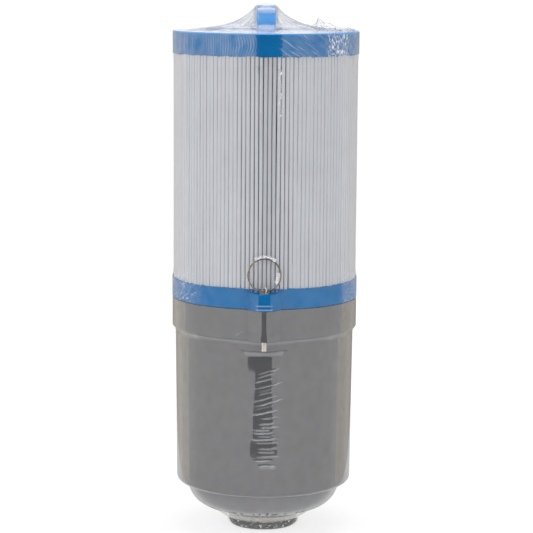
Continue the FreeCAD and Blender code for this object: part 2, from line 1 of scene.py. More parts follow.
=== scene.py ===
# The looks of a two-stage spa filter in clear shrink film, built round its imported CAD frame.
# Metres, +Z up, origin at the outlet's open end. The lock pin stands at the front, at -Y, and an
# angle round the axis is 0 at the front and grows towards +X.
import math
import random

import bmesh
import bpy
from mathutils import Matrix, Vector, noise


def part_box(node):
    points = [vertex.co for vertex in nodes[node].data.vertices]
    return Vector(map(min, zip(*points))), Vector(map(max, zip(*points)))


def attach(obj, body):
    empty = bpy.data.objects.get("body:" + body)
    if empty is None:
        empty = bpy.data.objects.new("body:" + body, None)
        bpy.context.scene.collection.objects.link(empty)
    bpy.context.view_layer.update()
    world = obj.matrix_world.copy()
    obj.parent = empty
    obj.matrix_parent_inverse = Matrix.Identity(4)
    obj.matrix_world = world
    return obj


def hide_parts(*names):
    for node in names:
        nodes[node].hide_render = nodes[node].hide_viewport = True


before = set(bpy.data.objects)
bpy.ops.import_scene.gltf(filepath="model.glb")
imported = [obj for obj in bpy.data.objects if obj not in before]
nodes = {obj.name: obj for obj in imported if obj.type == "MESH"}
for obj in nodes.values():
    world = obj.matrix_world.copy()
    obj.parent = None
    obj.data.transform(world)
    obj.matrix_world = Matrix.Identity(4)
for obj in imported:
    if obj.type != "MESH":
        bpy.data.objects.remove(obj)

MM = 0.001
TURN = 2 * math.pi
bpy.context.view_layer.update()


# --- places taken from the frame ---

def radius_of(node):
    """The largest distance from the axis to a node's side face, read along X."""
    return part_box(node)[1].x


TOP_CAP_LOW, TOP_CAP_HIGH = (corner.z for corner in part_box("top_end_cap"))
LOWER_CAP_LOW, LOWER_CAP_HIGH = (corner.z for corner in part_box("lower_end_cap"))
COLLAR_LOW, COLLAR_HIGH = (corner.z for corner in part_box("canister_collar"))
BOWL_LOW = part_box("reducer_bowl")[0].z
SHELL_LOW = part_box("canister_shell")[0].z
OUTLET_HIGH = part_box("threaded_outlet")[1].z
PIN_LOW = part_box("lock_pin")[0].z
HANDLE_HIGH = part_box("lift_handle")[1]
RING_LOW, RING_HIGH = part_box("pull_ring")

CAP_RADIUS = radius_of("top_end_cap")
LOWER_CAP_RADIUS = radius_of("lower_end_cap")
COLLAR_RADIUS = radius_of("canister_collar")
SHELL_RADIUS = radius_of("canister_shell")
BOWL_RADIUS = radius_of("reducer_bowl")
OUTLET_RADIUS = radius_of("threaded_outlet")
PLEAT_RADIUS = radius_of("pleated_media")
LUG_REACH = -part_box("canister_collar")[0].y
PIN_RADIUS = 1.7 * MM
PIN_FRONT = -sum(corner.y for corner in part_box("pin_washer")) / 2 + PIN_RADIUS


# --- small tools ---

def around(angle, radius, height):
    return Vector((radius * math.sin(angle), -radius * math.cos(angle), height))


def smooth_step(value, low, high):
    """0 below low, 1 above high, and a smooth rise between. low may be the larger one."""
    share = min(1.0, max(0.0, (value - low) / (high - low)))
    return share * share * (3 - 2 * share)


def along(keys, value):
    """Straight lines through (place, number...) keys in rising order of place."""
    if value <= keys[0][0]:
        return keys[0][1:]
    for before, after in zip(keys, keys[1:]):
        if value <= after[0]:
            share = (value - before[0]) / (after[0] - before[0])
            return tuple(a + (b - a) * share for a, b in zip(before[1:], after[1:]))
    return keys[-1][1:]


def ripple(u, v, seed, size):
    """Smooth noise from -1 to 1 over two lengths, with bumps of about this size."""
    return noise.noise(Vector((u / size, v / size, seed)))


def line_crease(distance, width):
    """A bump of height 1 with soft sides."""
    return math.exp(-(distance / width) ** 2)


def grid(row_count, column_count, closed_rows=False, closed_columns=True):
    """Quads between the points of a grid, stored row by row."""
    faces = []
    for row in range(row_count if closed_rows else row_count - 1):
        upper = (row + 1) % row_count
        for column in range(column_count if closed_columns else column_count - 1):
            after = (column + 1) % column_count
            faces.append((row * column_count + column, row * column_count + after,
                          upper * column_count + after, upper * column_count + column))
    return faces


def make_piece(name, points, faces, body, material):
    mesh = bpy.data.meshes.new(name)
    mesh.from_pydata(points, [], faces)
    mesh.materials.append(material)
    for polygon in mesh.polygons:
        polygon.use_smooth = True
    piece = bpy.data.objects.new(name, mesh)
    bpy.context.scene.collection.objects.link(piece)
    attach(piece, body)
    return piece


def finish_cad(name, material):
    """Gives a CAD node its material."""
    piece = nodes[name]
    piece.data.materials.clear()
    piece.data.materials.append(material)


# --- materials ---

class Shader:
    """A material's nodes. A value given to a node is a number, a colour or another node's output."""

    def __init__(self, name):
        self.material = bpy.data.materials.new(name)
        self.material.use_nodes = True
        self.tree = self.material.node_tree
        self.tree.nodes.clear()

    def add(self, kind, inputs=None, output=0, **settings):
        node = self.tree.nodes.new("ShaderNode" + kind)
        for key, value in settings.items():
            setattr(node, key, value)
        for key, value in (inputs or {}).items():
            if isinstance(value, bpy.types.NodeSocket):
                self.tree.links.new(value, node.inputs[key])
            else:
                node.inputs[key].default_value = value
        return node.outputs[output]

    def place(self):
        return self.add("TexCoord", output=3)

    def stretched(self, vector, scale):
        return self.add("Mapping", {"Vector": vector, "Scale": scale})

    def noise(self, vector, scale, detail=2.0, rough=0.5):
        return self.add("TexNoise", {"Vector": vector, "Scale": scale, "Detail": detail,
                                     "Roughness": rough})

    def count(self, operation, first, second=0.0, third=0.0):
        return self.add("Math", {0: first, 1: second, 2: third}, operation=operation)

    def span(self, value, low, high, out_low=0.0, out_high=1.0):
        """Maps a value from one range to another and holds it inside."""
        return self.add("MapRange", {"Value": value, "From Min": low, "From Max": high,
                                     "To Min": out_low, "To Max": out_high}, clamp=True)

    def blend(self, share, first, second):
        node = self.tree.nodes.new("ShaderNodeMix")
        node.data_type = "RGBA"
        for index, value in ((0, share), (6, first), (7, second)):
            if isinstance(value, bpy.types.NodeSocket):
                self.tree.links.new(value, node.inputs[index])
            else:
                node.inputs[index].default_value = value if index == 0 else (*value, 1.0)
        return node.outputs[2]

    def bump(self, height, distance, strength=1.0):
        return self.add("Bump", {"Height": height, "Distance": distance, "Strength": strength})

    def mix(self, share, first, second):
        return self.add("MixShader", {0: share, 1: first, 2: second})

    def finish(self, surface):
        node = self.tree.nodes.new("ShaderNodeOutputMaterial")
        self.tree.links.new(surface, node.inputs["Surface"])
        return self.material


def moulded(name, pale, deep, roughness, grain=0.00002, mottle=60.0, gloss=0.25, painted_rim_light=None):
    """Moulded or cast plastic: faint mottling, uneven polish and a fine grain. The last argument is a
    height and a paler colour painted in a narrow band just below it: a painted highlight where light
    catches the plastic's upper edge."""
    s = Shader(name)
    place = s.place()
    cloud = s.noise(place, mottle, 4.0, 0.6)
    fine = s.noise(place, 2600.0, 3.0)
    colour = s.blend(s.span(cloud, 0.3, 0.7), deep, pale)
    # Painted highlight: the colour turns paler over the last 0.9 mm below the given height.
    if painted_rim_light:
        height = s.add("SeparateXYZ", {"Vector": place}, output=2)
        colour = s.blend(s.span(height, painted_rim_light[0] - 0.9 * MM, painted_rim_light[0] - 0.3 * MM), colour, painted_rim_light[1])
    shine = s.span(s.noise(place, mottle * 2, 3.0), 0.3, 0.7, roughness * 0.85, roughness * 1.2)
    relief = s.bump(s.count("MULTIPLY_ADD", cloud, 2.0, fine), grain)
    return s.finish(s.add("BsdfPrincipled", {
        "Base Color": colour, "Roughness": shine, "Specular IOR Level": gloss, "Normal": relief}))


def metal(name, pale, deep, roughness):
    """Drawn steel wire: colour that drifts, and fine scratches."""
    s = Shader(name)
    place = s.place()
    drift = s.noise(place, 300.0, 4.0, 0.65)
    scratches = s.noise(s.stretched(place, (1.0, 1.0, 0.08)), 9000.0, 3.0)
    colour = s.blend(s.span(drift, 0.35, 0.65), deep, pale)
    shine = s.span(scratches, 0.2, 0.8, roughness * 0.7, roughness * 1.4)
    relief = s.bump(scratches, 0.00001)
    return s.finish(s.add("BsdfPrincipled", {"Base Color": colour, "Metallic": 1.0, "Roughness": shine,
                                             "Normal": relief}))


# Painted shade in the folds: how far in from the pleats' tips the cloth's colour starts to darken, and
# where it is darkest.
PAINTED_SHADE_FROM = 1.1 * MM
PAINTED_SHADE_TO = 3.5 * MM


def felt(name, pale, deep, inner):
    """Spun polyester filter cloth: matted fibres, faint bonded dimples and a little dust. inner is painted
    shade: the colour the cloth is darkened to deep in the folds, where little light reaches."""
    s = Shader(name)
    place = s.place()
    fibres = s.noise(s.stretched(place, (1.0, 1.0, 0.35)), 3800.0, 5.0, 0.7)
    dimples = s.add("TexVoronoi", {"Vector": place, "Scale": 1300.0})
    dust = s.noise(place, 45.0, 5.0, 0.6)
    share = s.count("MULTIPLY_ADD", s.span(fibres, 0.35, 0.75), 0.3, s.span(dust, 0.35, 0.7, 0.0, 0.7))
    radius = s.add("VectorMath", {0: s.stretched(place, (1.0, 1.0, 0.0))}, output=1, operation="LENGTH")
    # Painted shade: the cloth's colour darkens with depth into the folds.
    painted_shade_share = s.span(radius, PLEAT_RADIUS - PAINTED_SHADE_FROM, PLEAT_RADIUS - PAINTED_SHADE_TO)
    colour = s.blend(painted_shade_share, s.blend(share, pale, deep), inner)
    relief = s.bump(s.count("MULTIPLY_ADD", dimples, 0.5, fibres), 0.00004, 0.6)
    return s.finish(s.add("BsdfPrincipled", {
        "Base Color": colour, "Roughness": 0.9, "Specular IOR Level": 0.25, "Normal": relief}))


def granules(name, pale, deep):
    """A bed of loose grains."""
    s = Shader(name)
    place = s.place()
    grains = s.add("TexVoronoi", {"Vector": place, "Scale": 900.0})
    tint = s.add("TexVoronoi", {"Vector": place, "Scale": 900.0}, output=1)
    shade = s.add("SeparateColor", {"Color": tint})
    colour = s.blend(shade, deep, pale)
    relief = s.bump(s.count("MULTIPLY", grains, -1.0), 0.0006)
    return s.finish(s.add("BsdfPrincipled", {"Base Color": colour, "Roughness": 0.8, "Normal": relief}))


def rubber(name):
    """Moulded seal rubber with a bloom of talc."""
    s = Shader(name)
    place = s.place()
    bloom = s.noise(place, 220.0, 5.0, 0.7)
    colour = s.blend(s.span(bloom, 0.45, 0.8), (0.012, 0.012, 0.013), (0.05, 0.05, 0.05))
    relief = s.bump(s.noise(place, 2500.0, 3.0), 0.00002)
    return s.finish(s.add("BsdfPrincipled", {"Base Color": colour, "Roughness": 0.55, "Normal": relief}))


# Share of light that the film's two faces mirror together, seen straight on.
FILM_MIRROR = 0.077
CLEAR = (1.0, 1.0, 1.0)


def film_shader(name, grazing, cling, milk, texture, haze=(0.88, 0.89, 0.94), most=0.38):
    """Clear shrink film. It tints what lies behind it at grazing angles, mirrors less where it clings,
    and turns milky where the mesh's crease value is high: partly the real haze of creased film, partly
    painted highlights and painted reflections laid on through that value. milk is how hazy the film and its
    sharpest creases are, and most is the largest share it mirrors."""
    s = Shader(name)
    place = s.place()
    crease = s.add("Attribute", output=2, attribute_name="crease")
    normal = s.bump(s.noise(place, 900.0, 3.0, 0.55), texture)
    edge = s.add("LayerWeight", {"Blend": 0.5, "Normal": normal}, output=1)
    mirror = s.count("MULTIPLY_ADD", s.count("POWER", edge, 5.0), 1.0 - FILM_MIRROR, FILM_MIRROR)
    patches = s.noise(place, 150.0, 4.0, 0.6)
    share = s.count("MINIMUM", s.count("MULTIPLY", mirror, s.span(patches, 0.38, 0.62, *cling)), most)
    tint = s.blend(s.span(edge, 0.5, 1.0), CLEAR, grazing)
    clear = s.add("BsdfTransparent", {"Color": tint})
    gloss = s.add("BsdfGlossy", {"Color": (1.0, 1.0, 1.0, 1.0), "Roughness": 0.06, "Normal": normal})
    milky = s.add("BsdfDiffuse", {"Color": (*haze, 1.0)})
    spots = s.span(s.noise(place, 160.0, 4.0, 0.65), 0.45, 0.75, milk[0] * 0.4, milk[0])
    # The crease value whitens the film: partly haze of creased film, partly painted highlights and
    # reflections laid on through it.
    white = s.count("MULTIPLY_ADD", crease, milk[1], spots)
    return s.finish(s.mix(share, s.mix(white, clear, milky), gloss))


BLUE = moulded("cast_blue", (0.004, 0.143, 0.360), (0.003, 0.122, 0.318), 0.32, gloss=0.03)
# The top cap's blue, with a painted highlight along its upper edge.
TOP_BLUE_PAINTED_RIM = moulded("cast_blue_top_painted_rim", (0.004, 0.143, 0.360), (0.003, 0.122, 0.318), 0.32, gloss=0.03,
                   painted_rim_light=(TOP_CAP_HIGH, (0.040, 0.350, 0.780)))
# The handle's blue is a paler copy of the caps' blue: painted light for the thin strap lit through from
# behind.
HANDLE_BLUE_PAINTED_LIGHT = moulded("handle_blue_painted_light", (0.030, 0.315, 0.740), (0.022, 0.275, 0.680), 0.35, gloss=0.1)
GREY = moulded("canister_grey", (0.110, 0.110, 0.113), (0.101, 0.101, 0.104), 0.30, grain=0.000003,
               gloss=0.05)
DARK_GREY = moulded("outlet_grey", (0.060, 0.062, 0.066), (0.028, 0.029, 0.031), 0.38, mottle=260.0)
WHITE = moulded("white_moulding", (0.74, 0.74, 0.72), (0.66, 0.66, 0.64), 0.42)
SCREEN = moulded("screen_moulding", (0.56, 0.56, 0.54), (0.48, 0.48, 0.46), 0.50)
# Its last colour is painted shade for deep in the folds.
FELT = felt("pleat_felt", (0.503, 0.515, 0.540), (0.456, 0.466, 0.490), (0.04, 0.05, 0.07))
MEDIA = granules("media_grains", (0.30, 0.22, 0.14), (0.06, 0.045, 0.03))
RUBBER = rubber("seal_black")
PIN_STEEL = metal("pin_wire", (0.80, 0.74, 0.64), (0.56, 0.50, 0.42), 0.30)
RING_STEEL = metal("ring_wire", (0.46, 0.40, 0.31), (0.22, 0.19, 0.15), 0.26)
FILM_PLEATS = film_shader("film_pleats", (0.96, 0.96, 0.97), (0.6, 0.9), (0.010, 0.7), 0.00001)
FILM_TOP_CAP = film_shader("film_top_cap", (0.97, 0.97, 0.97), (0.68, 1.08), (0.002, 0.82), 0.00001)
FILM_LOWER_CAP = film_shader("film_lower_cap", (0.97, 0.97, 0.97), (0.45, 0.70), (0.002, 0.55), 0.00001)
FILM_CANISTER = film_shader("film_canister", (0.98, 0.975, 0.96), (1.30, 1.50), (0.002, 0.45), 0.000001,
                            most=0.33)
# The skirt's warm grey milky colour also carries a painted reflection of the floor on the cone.
FILM_SKIRT = film_shader("film_skirt", (0.96, 0.955, 0.94), (0.7, 1.0), (0.01, 0.62), 0.00005,
                         haze=(0.60, 0.585, 0.55))
FILM_TENT = film_shader("film_tent", (0.972, 0.978, 0.992), (0.6, 1.1), (0.02, 0.55), 0.00001,
                        haze=(0.88, 0.905, 0.98), most=1.0)
FILM_KNOT = film_shader("film_knot", (0.90, 0.905, 0.94), (0.7, 1.0), (0.04, 0.60), 0.0004,
                        haze=(0.72, 0.75, 0.84), most=1.0)
FILM_SCRAP = film_shader("film_scrap", (0.95, 0.95, 0.97), (0.9, 1.2), (0.25, 1.0), 0.0006,
                         haze=(0.97, 0.97, 0.99), most=1.0)

for slot, material, names in (
        ("grey_plastic", GREY, ("reducer_bowl", "canister_shell", "canister_collar", "deck_plate",
                                "spigot_tube")),
        ("seal_rubber", RUBBER, ("spigot_o_ring", "outlet_o_ring")),
        ("screen_plastic", SCREEN, ("inlet_screen", "outlet_screen", "screen_grid")),
        ("media", MEDIA, ("media_bed",)),
        ("blue_plastic", BLUE, ("lower_end_cap",)),
        ("blue_plastic", TOP_BLUE_PAINTED_RIM, ("top_end_cap",)),
        ("blue_plastic", HANDLE_BLUE_PAINTED_LIGHT, ("lift_handle",)),
        ("white_plastic", WHITE, ("outlet_sleeve", "core_tube")),
        ("pin_steel", PIN_STEEL, ("lock_pin", "pin_washer"))):
    for name in names:
        finish_cad(name, material)


# --- pleats ---

PLEAT_COUNT = 135
PLEAT_PITCH = TURN / PLEAT_COUNT
PLEAT_ROOT = 29.4 * MM
PLEAT_FOLD = 1.36 * MM          # half the width of an outer fold
PLEAT_ROOT_FOLD = 0.5 * MM      # depth of an inner fold
ROOT_HALF = 0.3 * MM            # half the width of an inner fold
FRONT_START = 0.94              # cosine of the angle from the front within which folds stand apart
FRONT_OPENING = 0.10            # how much narrower the folds are at the front
SIDE_FLATNESS = 0.4             # depth of an outer fold elsewhere, as a share of half its width
PLEAT_LEAN = 0.22 * MM          # how far a pleat's ends may stray sideways
PLEAT_SWAY = 0.28 * MM          # how far its middle may
PLEAT_DENT = 0.12 * MM          # how unevenly the tips stand out
PLEAT_LEVELS = 26
FOLD_STEPS = 7


def fold_shape():
    """One pleat's section, from tip to root and back, as (part, side, depth). Depth is a share of the
    fold's or the flank's own depth."""
    points = []
    for step in range(FOLD_STEPS):
        turn = math.pi * (step / (FOLD_STEPS - 1) - 0.5)
        points.append(("tip", math.sin(turn), 1 - math.cos(turn)))
    for depth in (0.25, 0.6):
        points.append(("flank", 1, depth))
    for step in range(FOLD_STEPS - 2):
        turn = math.pi * (step / (FOLD_STEPS - 3) - 0.5)
        points.append(("root", math.sin(turn), 1 - math.cos(turn)))
    for depth in (0.6, 0.25):
        points.append(("flank", -1, depth))
    return points


def fold_place(part, side, depth, middle, tip_radius, fold, fold_depth):
    """Angle and radius of one point of a pleat's section."""
    if part == "tip":
        radius = tip_radius - depth * fold_depth
        return middle + side * fold / radius, radius
    if part == "root":
        radius = PLEAT_ROOT + depth * PLEAT_ROOT_FOLD
        return middle + PLEAT_PITCH / 2 + side * ROOT_HALF / radius, radius
    outer, inner = tip_radius - fold_depth, PLEAT_ROOT + PLEAT_ROOT_FOLD
    near = middle + fold / outer
    far = middle + PLEAT_PITCH / 2 - ROOT_HALF / inner
    if side < 0:
        near = middle + PLEAT_PITCH - fold / outer
        far = middle + PLEAT_PITCH / 2 + ROOT_HALF / inner
    return near + (far - near) * depth, outer + (inner - outer) * depth


def make_pleats():
    """One folded sheet between the caps, each pleat a rounded U that wanders a little along its length."""
    draw = random.Random(5)
    section = fold_shape()
    lean = [draw.uniform(-PLEAT_LEAN, PLEAT_LEAN) for _ in range(PLEAT_COUNT)]
    width = [draw.uniform(0.93, 1.07) for _ in range(PLEAT_COUNT)]
    low, high = LOWER_CAP_HIGH - 1.6 * MM, TOP_CAP_LOW + 1.0 * MM
    points = []
    for level in range(PLEAT_LEVELS):
        share = level / (PLEAT_LEVELS - 1)
        height = low + (high - low) * share
        free = math.sin(math.pi * share)
        for k in range(PLEAT_COUNT):
            sway = PLEAT_SWAY * free * ripple(share * 2.2, k * 7.3, 1.0, 1.0)
            middle = k * PLEAT_PITCH + (lean[k] * (share - 0.5) * 2 + sway) / PLEAT_RADIUS
            tip_radius = PLEAT_RADIUS - PLEAT_DENT * (1 + ripple(share * 3.0, k * 5.1, 4.0, 1.0))
            front = smooth_step(math.cos(middle), FRONT_START, 1.0)
            fold = PLEAT_FOLD * width[k] * (1 - FRONT_OPENING * front)
            fold_depth = fold * (SIDE_FLATNESS + (1 - SIDE_FLATNESS) * front)
            for part, side, depth in section:
                angle, radius = fold_place(part, side, depth, middle, tip_radius, fold, fold_depth)
                points.append(around(angle, radius, height))
    faces = grid(PLEAT_LEVELS, PLEAT_COUNT * len(section))
    pleats = make_piece("pleats", points, faces, "cartridge", FELT)
    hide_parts("pleated_media")


make_pleats()


# --- cast edges of the end caps ---

EDGE_STEPS = 6          # columns for each pleat


def make_cast_edge(name, radius, height, direction, reach, seed):
    """The cap's casting resin where it crept a little way along each pleat: an uneven scalloped hem."""
    columns = PLEAT_COUNT * EDGE_STEPS
    inner = PLEAT_RADIUS - 1.6 * MM
    points = []
    for row_radius, share in ((radius, 0.0), (radius, 0.55), (radius - 0.15 * MM, 0.85),
                              (radius - 0.55 * MM, 1.0), (inner, 0.9), (inner, 0.0)):
        for column in range(columns):
            angle = TURN * column / columns
            arc = angle * radius
            scallop = 0.5 + 0.5 * math.cos(angle * PLEAT_COUNT + 1.2 * ripple(arc, 0.0, seed, 9 * MM))
            creep = 0.38 + 0.30 * scallop + 0.42 * ripple(arc, 3.0, seed, 7 * MM)
            creep += 0.35 * ripple(arc, 8.0, seed, 2.6 * MM)
            points.append(around(angle, row_radius, height + direction * reach * max(0.06, creep) * share))
    faces = grid(len(points) // columns, columns, closed_rows=True)
    make_piece(name, points, faces, "cartridge", BLUE)


make_cast_edge("top_cap_cast_edge", CAP_RADIUS, TOP_CAP_LOW, -1, 1.5 * MM, 2.0)
make_cast_edge("lower_cap_cast_edge", LOWER_CAP_RADIUS, LOWER_CAP_HIGH, 1, 1.0 * MM, 6.0)


# --- threaded outlet ---

THREAD_PITCH = 25.4 / 11.5 * MM
THREAD_DEPTH = 1.25 * MM
THREAD_LOW = 0.5 * MM
OUTLET_BORE = 19.5 * MM
NECK_RADIUS = 22.4 * MM
THREAD_HIGH = BOWL_LOW - 3.8 * MM


def make_outlet():
    """The pipe with its thread: a ridge that climbs once round for each pitch and fades at both ends."""
    columns, rows = 200, 72
    core = OUTLET_RADIUS - THREAD_DEPTH
    profile = [(OUTLET_BORE, OUTLET_HIGH), (OUTLET_BORE, 8 * MM), (OUTLET_BORE, 0.4 * MM),
               (OUTLET_BORE + 0.4 * MM, 0.0), (core - 0.5 * MM, 0.0)]
    points = [around(TURN * c / columns, r, z) for r, z in profile for c in range(columns)]
    for row in range(rows + 1):
        share = row / rows
        height = THREAD_LOW * (1 - share) + THREAD_HIGH * share
        for c in range(columns):
            phase = (height / THREAD_PITCH - c / columns) % 1.0
            ridge = min(1.0, max(0.0, 2.6 * (0.5 - abs(phase - 0.5)) - 0.15))
            fade = smooth_step(share, 0.0, 0.10) * smooth_step(share, 1.0, 0.90)
            points.append(around(TURN * c / columns, core + THREAD_DEPTH * ridge * fade * 0.98, height))
    shoulder = [(core, THREAD_HIGH), (NECK_RADIUS, THREAD_HIGH), (NECK_RADIUS, OUTLET_HIGH)]
    points += [around(TURN * c / columns, r, z) for r, z in shoulder for c in range(columns)]
    row_count = len(points) // columns
    faces = grid(row_count, columns, closed_rows=True)
    outlet = make_piece("outlet_thread", points, faces, "canister", DARK_GREY)
    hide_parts("threaded_outlet")


make_outlet()


# --- pull ring ---

RING_WIRE = 0.55 * MM
RING_LEAN = math.radians(8.0)
GROOVE_DEPTH = 0.22             # of the groove between the ring's two windings, in wire radii
GROOVE_WIDTH = 0.18
RING_RADIUS = (RING_HIGH.x - RING_LOW.x) / 2 - RING_WIRE
RING_CENTRE = (RING_LOW + RING_HIGH) / 2
RING_UP = Vector((0, math.sin(RING_LEAN), math.cos(RING_LEAN)))
RING_OUT = Vector((0, -math.cos(RING_LEAN), math.sin(RING_LEAN)))


def on_ring(turn, radius, off):
    """A point by the ring: turn is from its top towards +X, and off is how far out of its plane."""
    side = Vector((radius * math.sin(turn), 0, 0))
    return RING_CENTRE + side + RING_UP * radius * math.cos(turn) + RING_OUT * off


def make_ring():
    """A split ring: flattened wire wound twice, so that a fine groove runs round its middle."""
    steps, sides = 160, 20
    points = []
    for step in range(steps):
        turn = TURN * step / steps
        for side in range(sides):
            roll = TURN * side / sides
            groove = 1.0
            if math.cos(roll) > 0:
                groove -= GROOVE_DEPTH * line_crease(math.sin(roll), GROOVE_WIDTH)
            across = RING_WIRE * math.sin(roll) * groove
            points.append(on_ring(turn, RING_RADIUS + across, RING_WIRE * math.cos(roll) * groove))
    faces = grid(steps, sides, closed_rows=True)
    ring = make_piece("split_ring", points, faces, "ring", RING_STEEL)
    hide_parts("pull_ring")


make_ring()


# --- shrink film ---
# Each film piece is a grid of rows round the axis. A row's section gives, for an angle, the film's
# radius and how creased it is there, from 0 to 1. The crease is kept on the mesh for the material, which
# whitens the film by it; in places the value also carries painted highlights and painted reflections.

FILM_OFF = 0.16 * MM


def fine_angles(step, front, coarse):
    """Column angles all round, one step apart within front of the middle and coarse apart elsewhere."""
    angles, angle = [], -math.pi
    while angle < math.pi - coarse / 2:
        angles.append(angle)
        angle += step if abs(angle) < front else coarse
    return angles


def rows_between(low, high, step):
    count = max(1, round((high - low) / step))
    return [low + (high - low) * i / count for i in range(count)]


def keep_creases(piece, creases):
    store = piece.data.attributes.new("crease", "FLOAT", "POINT")
    store.data.foreach_set("value", creases)


def film_piece(name, heights, angles, section, body, material, replaced=()):
    points, creases = [], []
    for height in heights:
        film_at = section(height)
        for angle in angles:
            radius, crease = film_at(angle)
            points.append(around(angle, radius, height))
            creases.append(crease)
    faces = grid(len(heights), len(angles))
    piece = make_piece(name, points, faces, body, material)
    keep_creases(piece, creases)
    if replaced:
        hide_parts(*replaced)
    return piece


def ridge_plan(base, depth, half, root, edge):
    """Half the plan of film that lies on a cylinder and stretches over a ridge at the front, from the
    ridge's middle to the film's foot. Points are (sideways, forward), and edge rounds the corner."""
    foot = Vector((root, math.sqrt(base * base - root * root)))
    turn = math.atan2(depth - foot.y, root - half)
    cut = min(edge * math.tan(turn / 2), half)
    radius = cut / math.tan(turn / 2)
    middle = Vector((half - cut, depth - radius))
    arc = [middle + Vector((math.sin(turn * i / 6), math.cos(turn * i / 6))) * radius for i in range(7)]
    return [Vector((0, depth)), *arc, foot]


def reach(plan, base, angle):
    """How far out a sight line from the axis meets the plan, or the cylinder outside it."""
    angle = abs(angle)
    for near, far in zip(plan, plan[1:]):
        if angle <= math.atan2(far.x, far.y):
            run = far - near
            across = run.x * math.cos(angle) - run.y * math.sin(angle)
            return max(base, (run.x * near.y - run.y * near.x) / across)
    return base


LUG_FACE = 4.3 * MM             # half the width of the blue lug's flat front
LOWER_LUG_FACE = 2.8 * MM
LOWER_LUG_EDGE = 5.2 * MM
LUG_FOOT = 13.3 * MM            # half the width over which the film hangs from a lug
LUG_STEP = 1.5 * MM
BOWL_CURVE = 17.6 * MM
SHELL_EDGE = 3.7 * MM
SHELL_LOW_RADIUS = 60.1 * MM
BRIDGE = 3.4 * MM               # how far below the collar the film meets the shell
TENT_LOW = PIN_LOW - 4.5 * MM   # where the film that hangs from the lug meets the shell
CREASES_LOW = 54 * MM           # where the front's creases end
CREASE_WIDTH = 0.50 * MM
CREASE_REACH = 20 * MM          # how far from the middle the front's creases may come
SHARP_CREASE = 0.2 * MM         # how proud a crease stands that scatters light fully
FILM_LOW = BOWL_LOW + 1.3 * MM  # where the film leaves the bowl
FLECK = Vector((-19.4 * MM, PIN_LOW - 0.6 * MM))    # a small blister in the film left of the pin's tip


def canister_profile():
    """(height, radius) of the film away from the lug, from the bowl up to the collar."""
    keys = []
    for step in range(2, 9):
        turn = math.radians(90 * step / 8)
        keys.append((BOWL_LOW + BOWL_CURVE * (1 - math.cos(turn)),
                     BOWL_RADIUS - BOWL_CURVE * (1 - math.sin(turn)) + FILM_OFF))
    keys[-1] = (SHELL_LOW - 0.9 * MM, BOWL_RADIUS + FILM_OFF)
    for step in range(1, 9):
        turn = math.radians(90 * step / 8)
        keys.append((SHELL_LOW + SHELL_EDGE * (1 - math.cos(turn)),
                     SHELL_LOW_RADIUS - SHELL_EDGE * (1 - math.sin(turn)) + FILM_OFF))
    keys.append((COLLAR_LOW - BRIDGE, SHELL_RADIUS + 0.12 * MM))
    keys.append((COLLAR_LOW + 0.7 * MM, COLLAR_RADIUS + FILM_OFF))
    keys.append((COLLAR_HIGH, COLLAR_RADIUS + FILM_OFF))
    return keys


def tent_keys():
    """(height, ridge's distance from the axis, its half width, the film's foot, the corner's rounding)."""
    out = LUG_REACH + FILM_OFF
    return [
        (TENT_LOW - 0.4 * MM, SHELL_RADIUS - 0.5 * MM, 2.5 * MM, 14 * MM, 1 * MM),
        (TENT_LOW, SHELL_RADIUS + 0.85 * MM, 2.5 * MM, 14 * MM, 1 * MM),
        (PIN_LOW - 2.0 * MM, SHELL_RADIUS + 2.4 * MM, 2.1 * MM, 16 * MM, 1.5 * MM),
        (PIN_LOW - 0.2 * MM, PIN_FRONT + 0.3 * MM, 2.1 * MM, 21 * MM, 1.7 * MM),
        (COLLAR_LOW - 0.3 * MM, out, LOWER_LUG_FACE, 27 * MM, LOWER_LUG_EDGE),
        (COLLAR_LOW + 6 * MM, out, LOWER_LUG_FACE, LUG_FOOT, LOWER_LUG_EDGE),
        (COLLAR_HIGH, out, LOWER_LUG_FACE, LUG_FOOT, LOWER_LUG_EDGE),
    ]


def front_creases():
    """Creases across the canister's front: (height, slope, half length, side shift, how proud)."""
    draw = random.Random(11)
    creases, height = [], PIN_LOW - 15 * MM
    while height > CREASES_LOW:
        slope = 0.30 * smooth_step(height, 74 * MM, 100 * MM) + draw.uniform(-0.04, 0.07)
        creases.append((height, slope, draw.uniform(6, 11) * MM, draw.uniform(-1, 4) * MM,
                        draw.uniform(0.05, 0.15) * MM))
        height -= draw.uniform(1.7, 4.0) * MM
    return creases


def crease_relief(creases, across, height):
    """How far the front's creases lift the film at a place, and how creased it is there."""
    lift, crease = 0.0, 0.0
    if abs(across) < CREASE_REACH:
        for middle, slope, length, shift, proud in creases:
            bend = 0.4 * MM * ripple(across, middle, 3.0, 5 * MM)
            off = height - middle - slope * (across - shift) - bend
            fade = 1 - smooth_step(abs(across - shift), length * 0.4, length)
            peak = fade * line_crease(off, CREASE_WIDTH)
            lift += proud * peak
            crease = max(crease, peak * proud / SHARP_CREASE)
    return lift, crease


